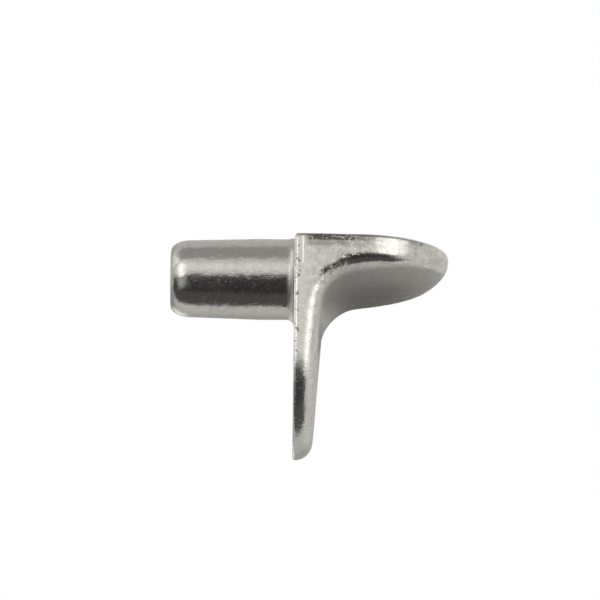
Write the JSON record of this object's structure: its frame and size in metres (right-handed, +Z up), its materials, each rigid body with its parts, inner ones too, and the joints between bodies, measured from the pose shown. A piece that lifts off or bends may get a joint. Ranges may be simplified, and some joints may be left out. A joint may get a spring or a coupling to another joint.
{
  "type": "shelf support pin",
  "caption": "Spoon-shaped shelf support: a round pin for a 5 mm hole, a round-ended plate against the cabinet side, and a flat-topped, dished rest for the shelf.",
  "frame": {"origin": "on the pin's axis, in the plane of the plate's back face, which lies against the cabinet side", "axes": "+Z up towards the shelf, +X along the rest towards its tip, the pin points along -X into its hole"},
  "size_m": [0.0172, 0.0106, 0.0141],
  "materials": {
    "nickel_plate": "bright nickel plate over a tumbled zinc casting, duller inside the dish"
  },
  "bodies": {
    "root": {"shelf_support_pin": "nickel_plate"}
  },
  "joints": []
}
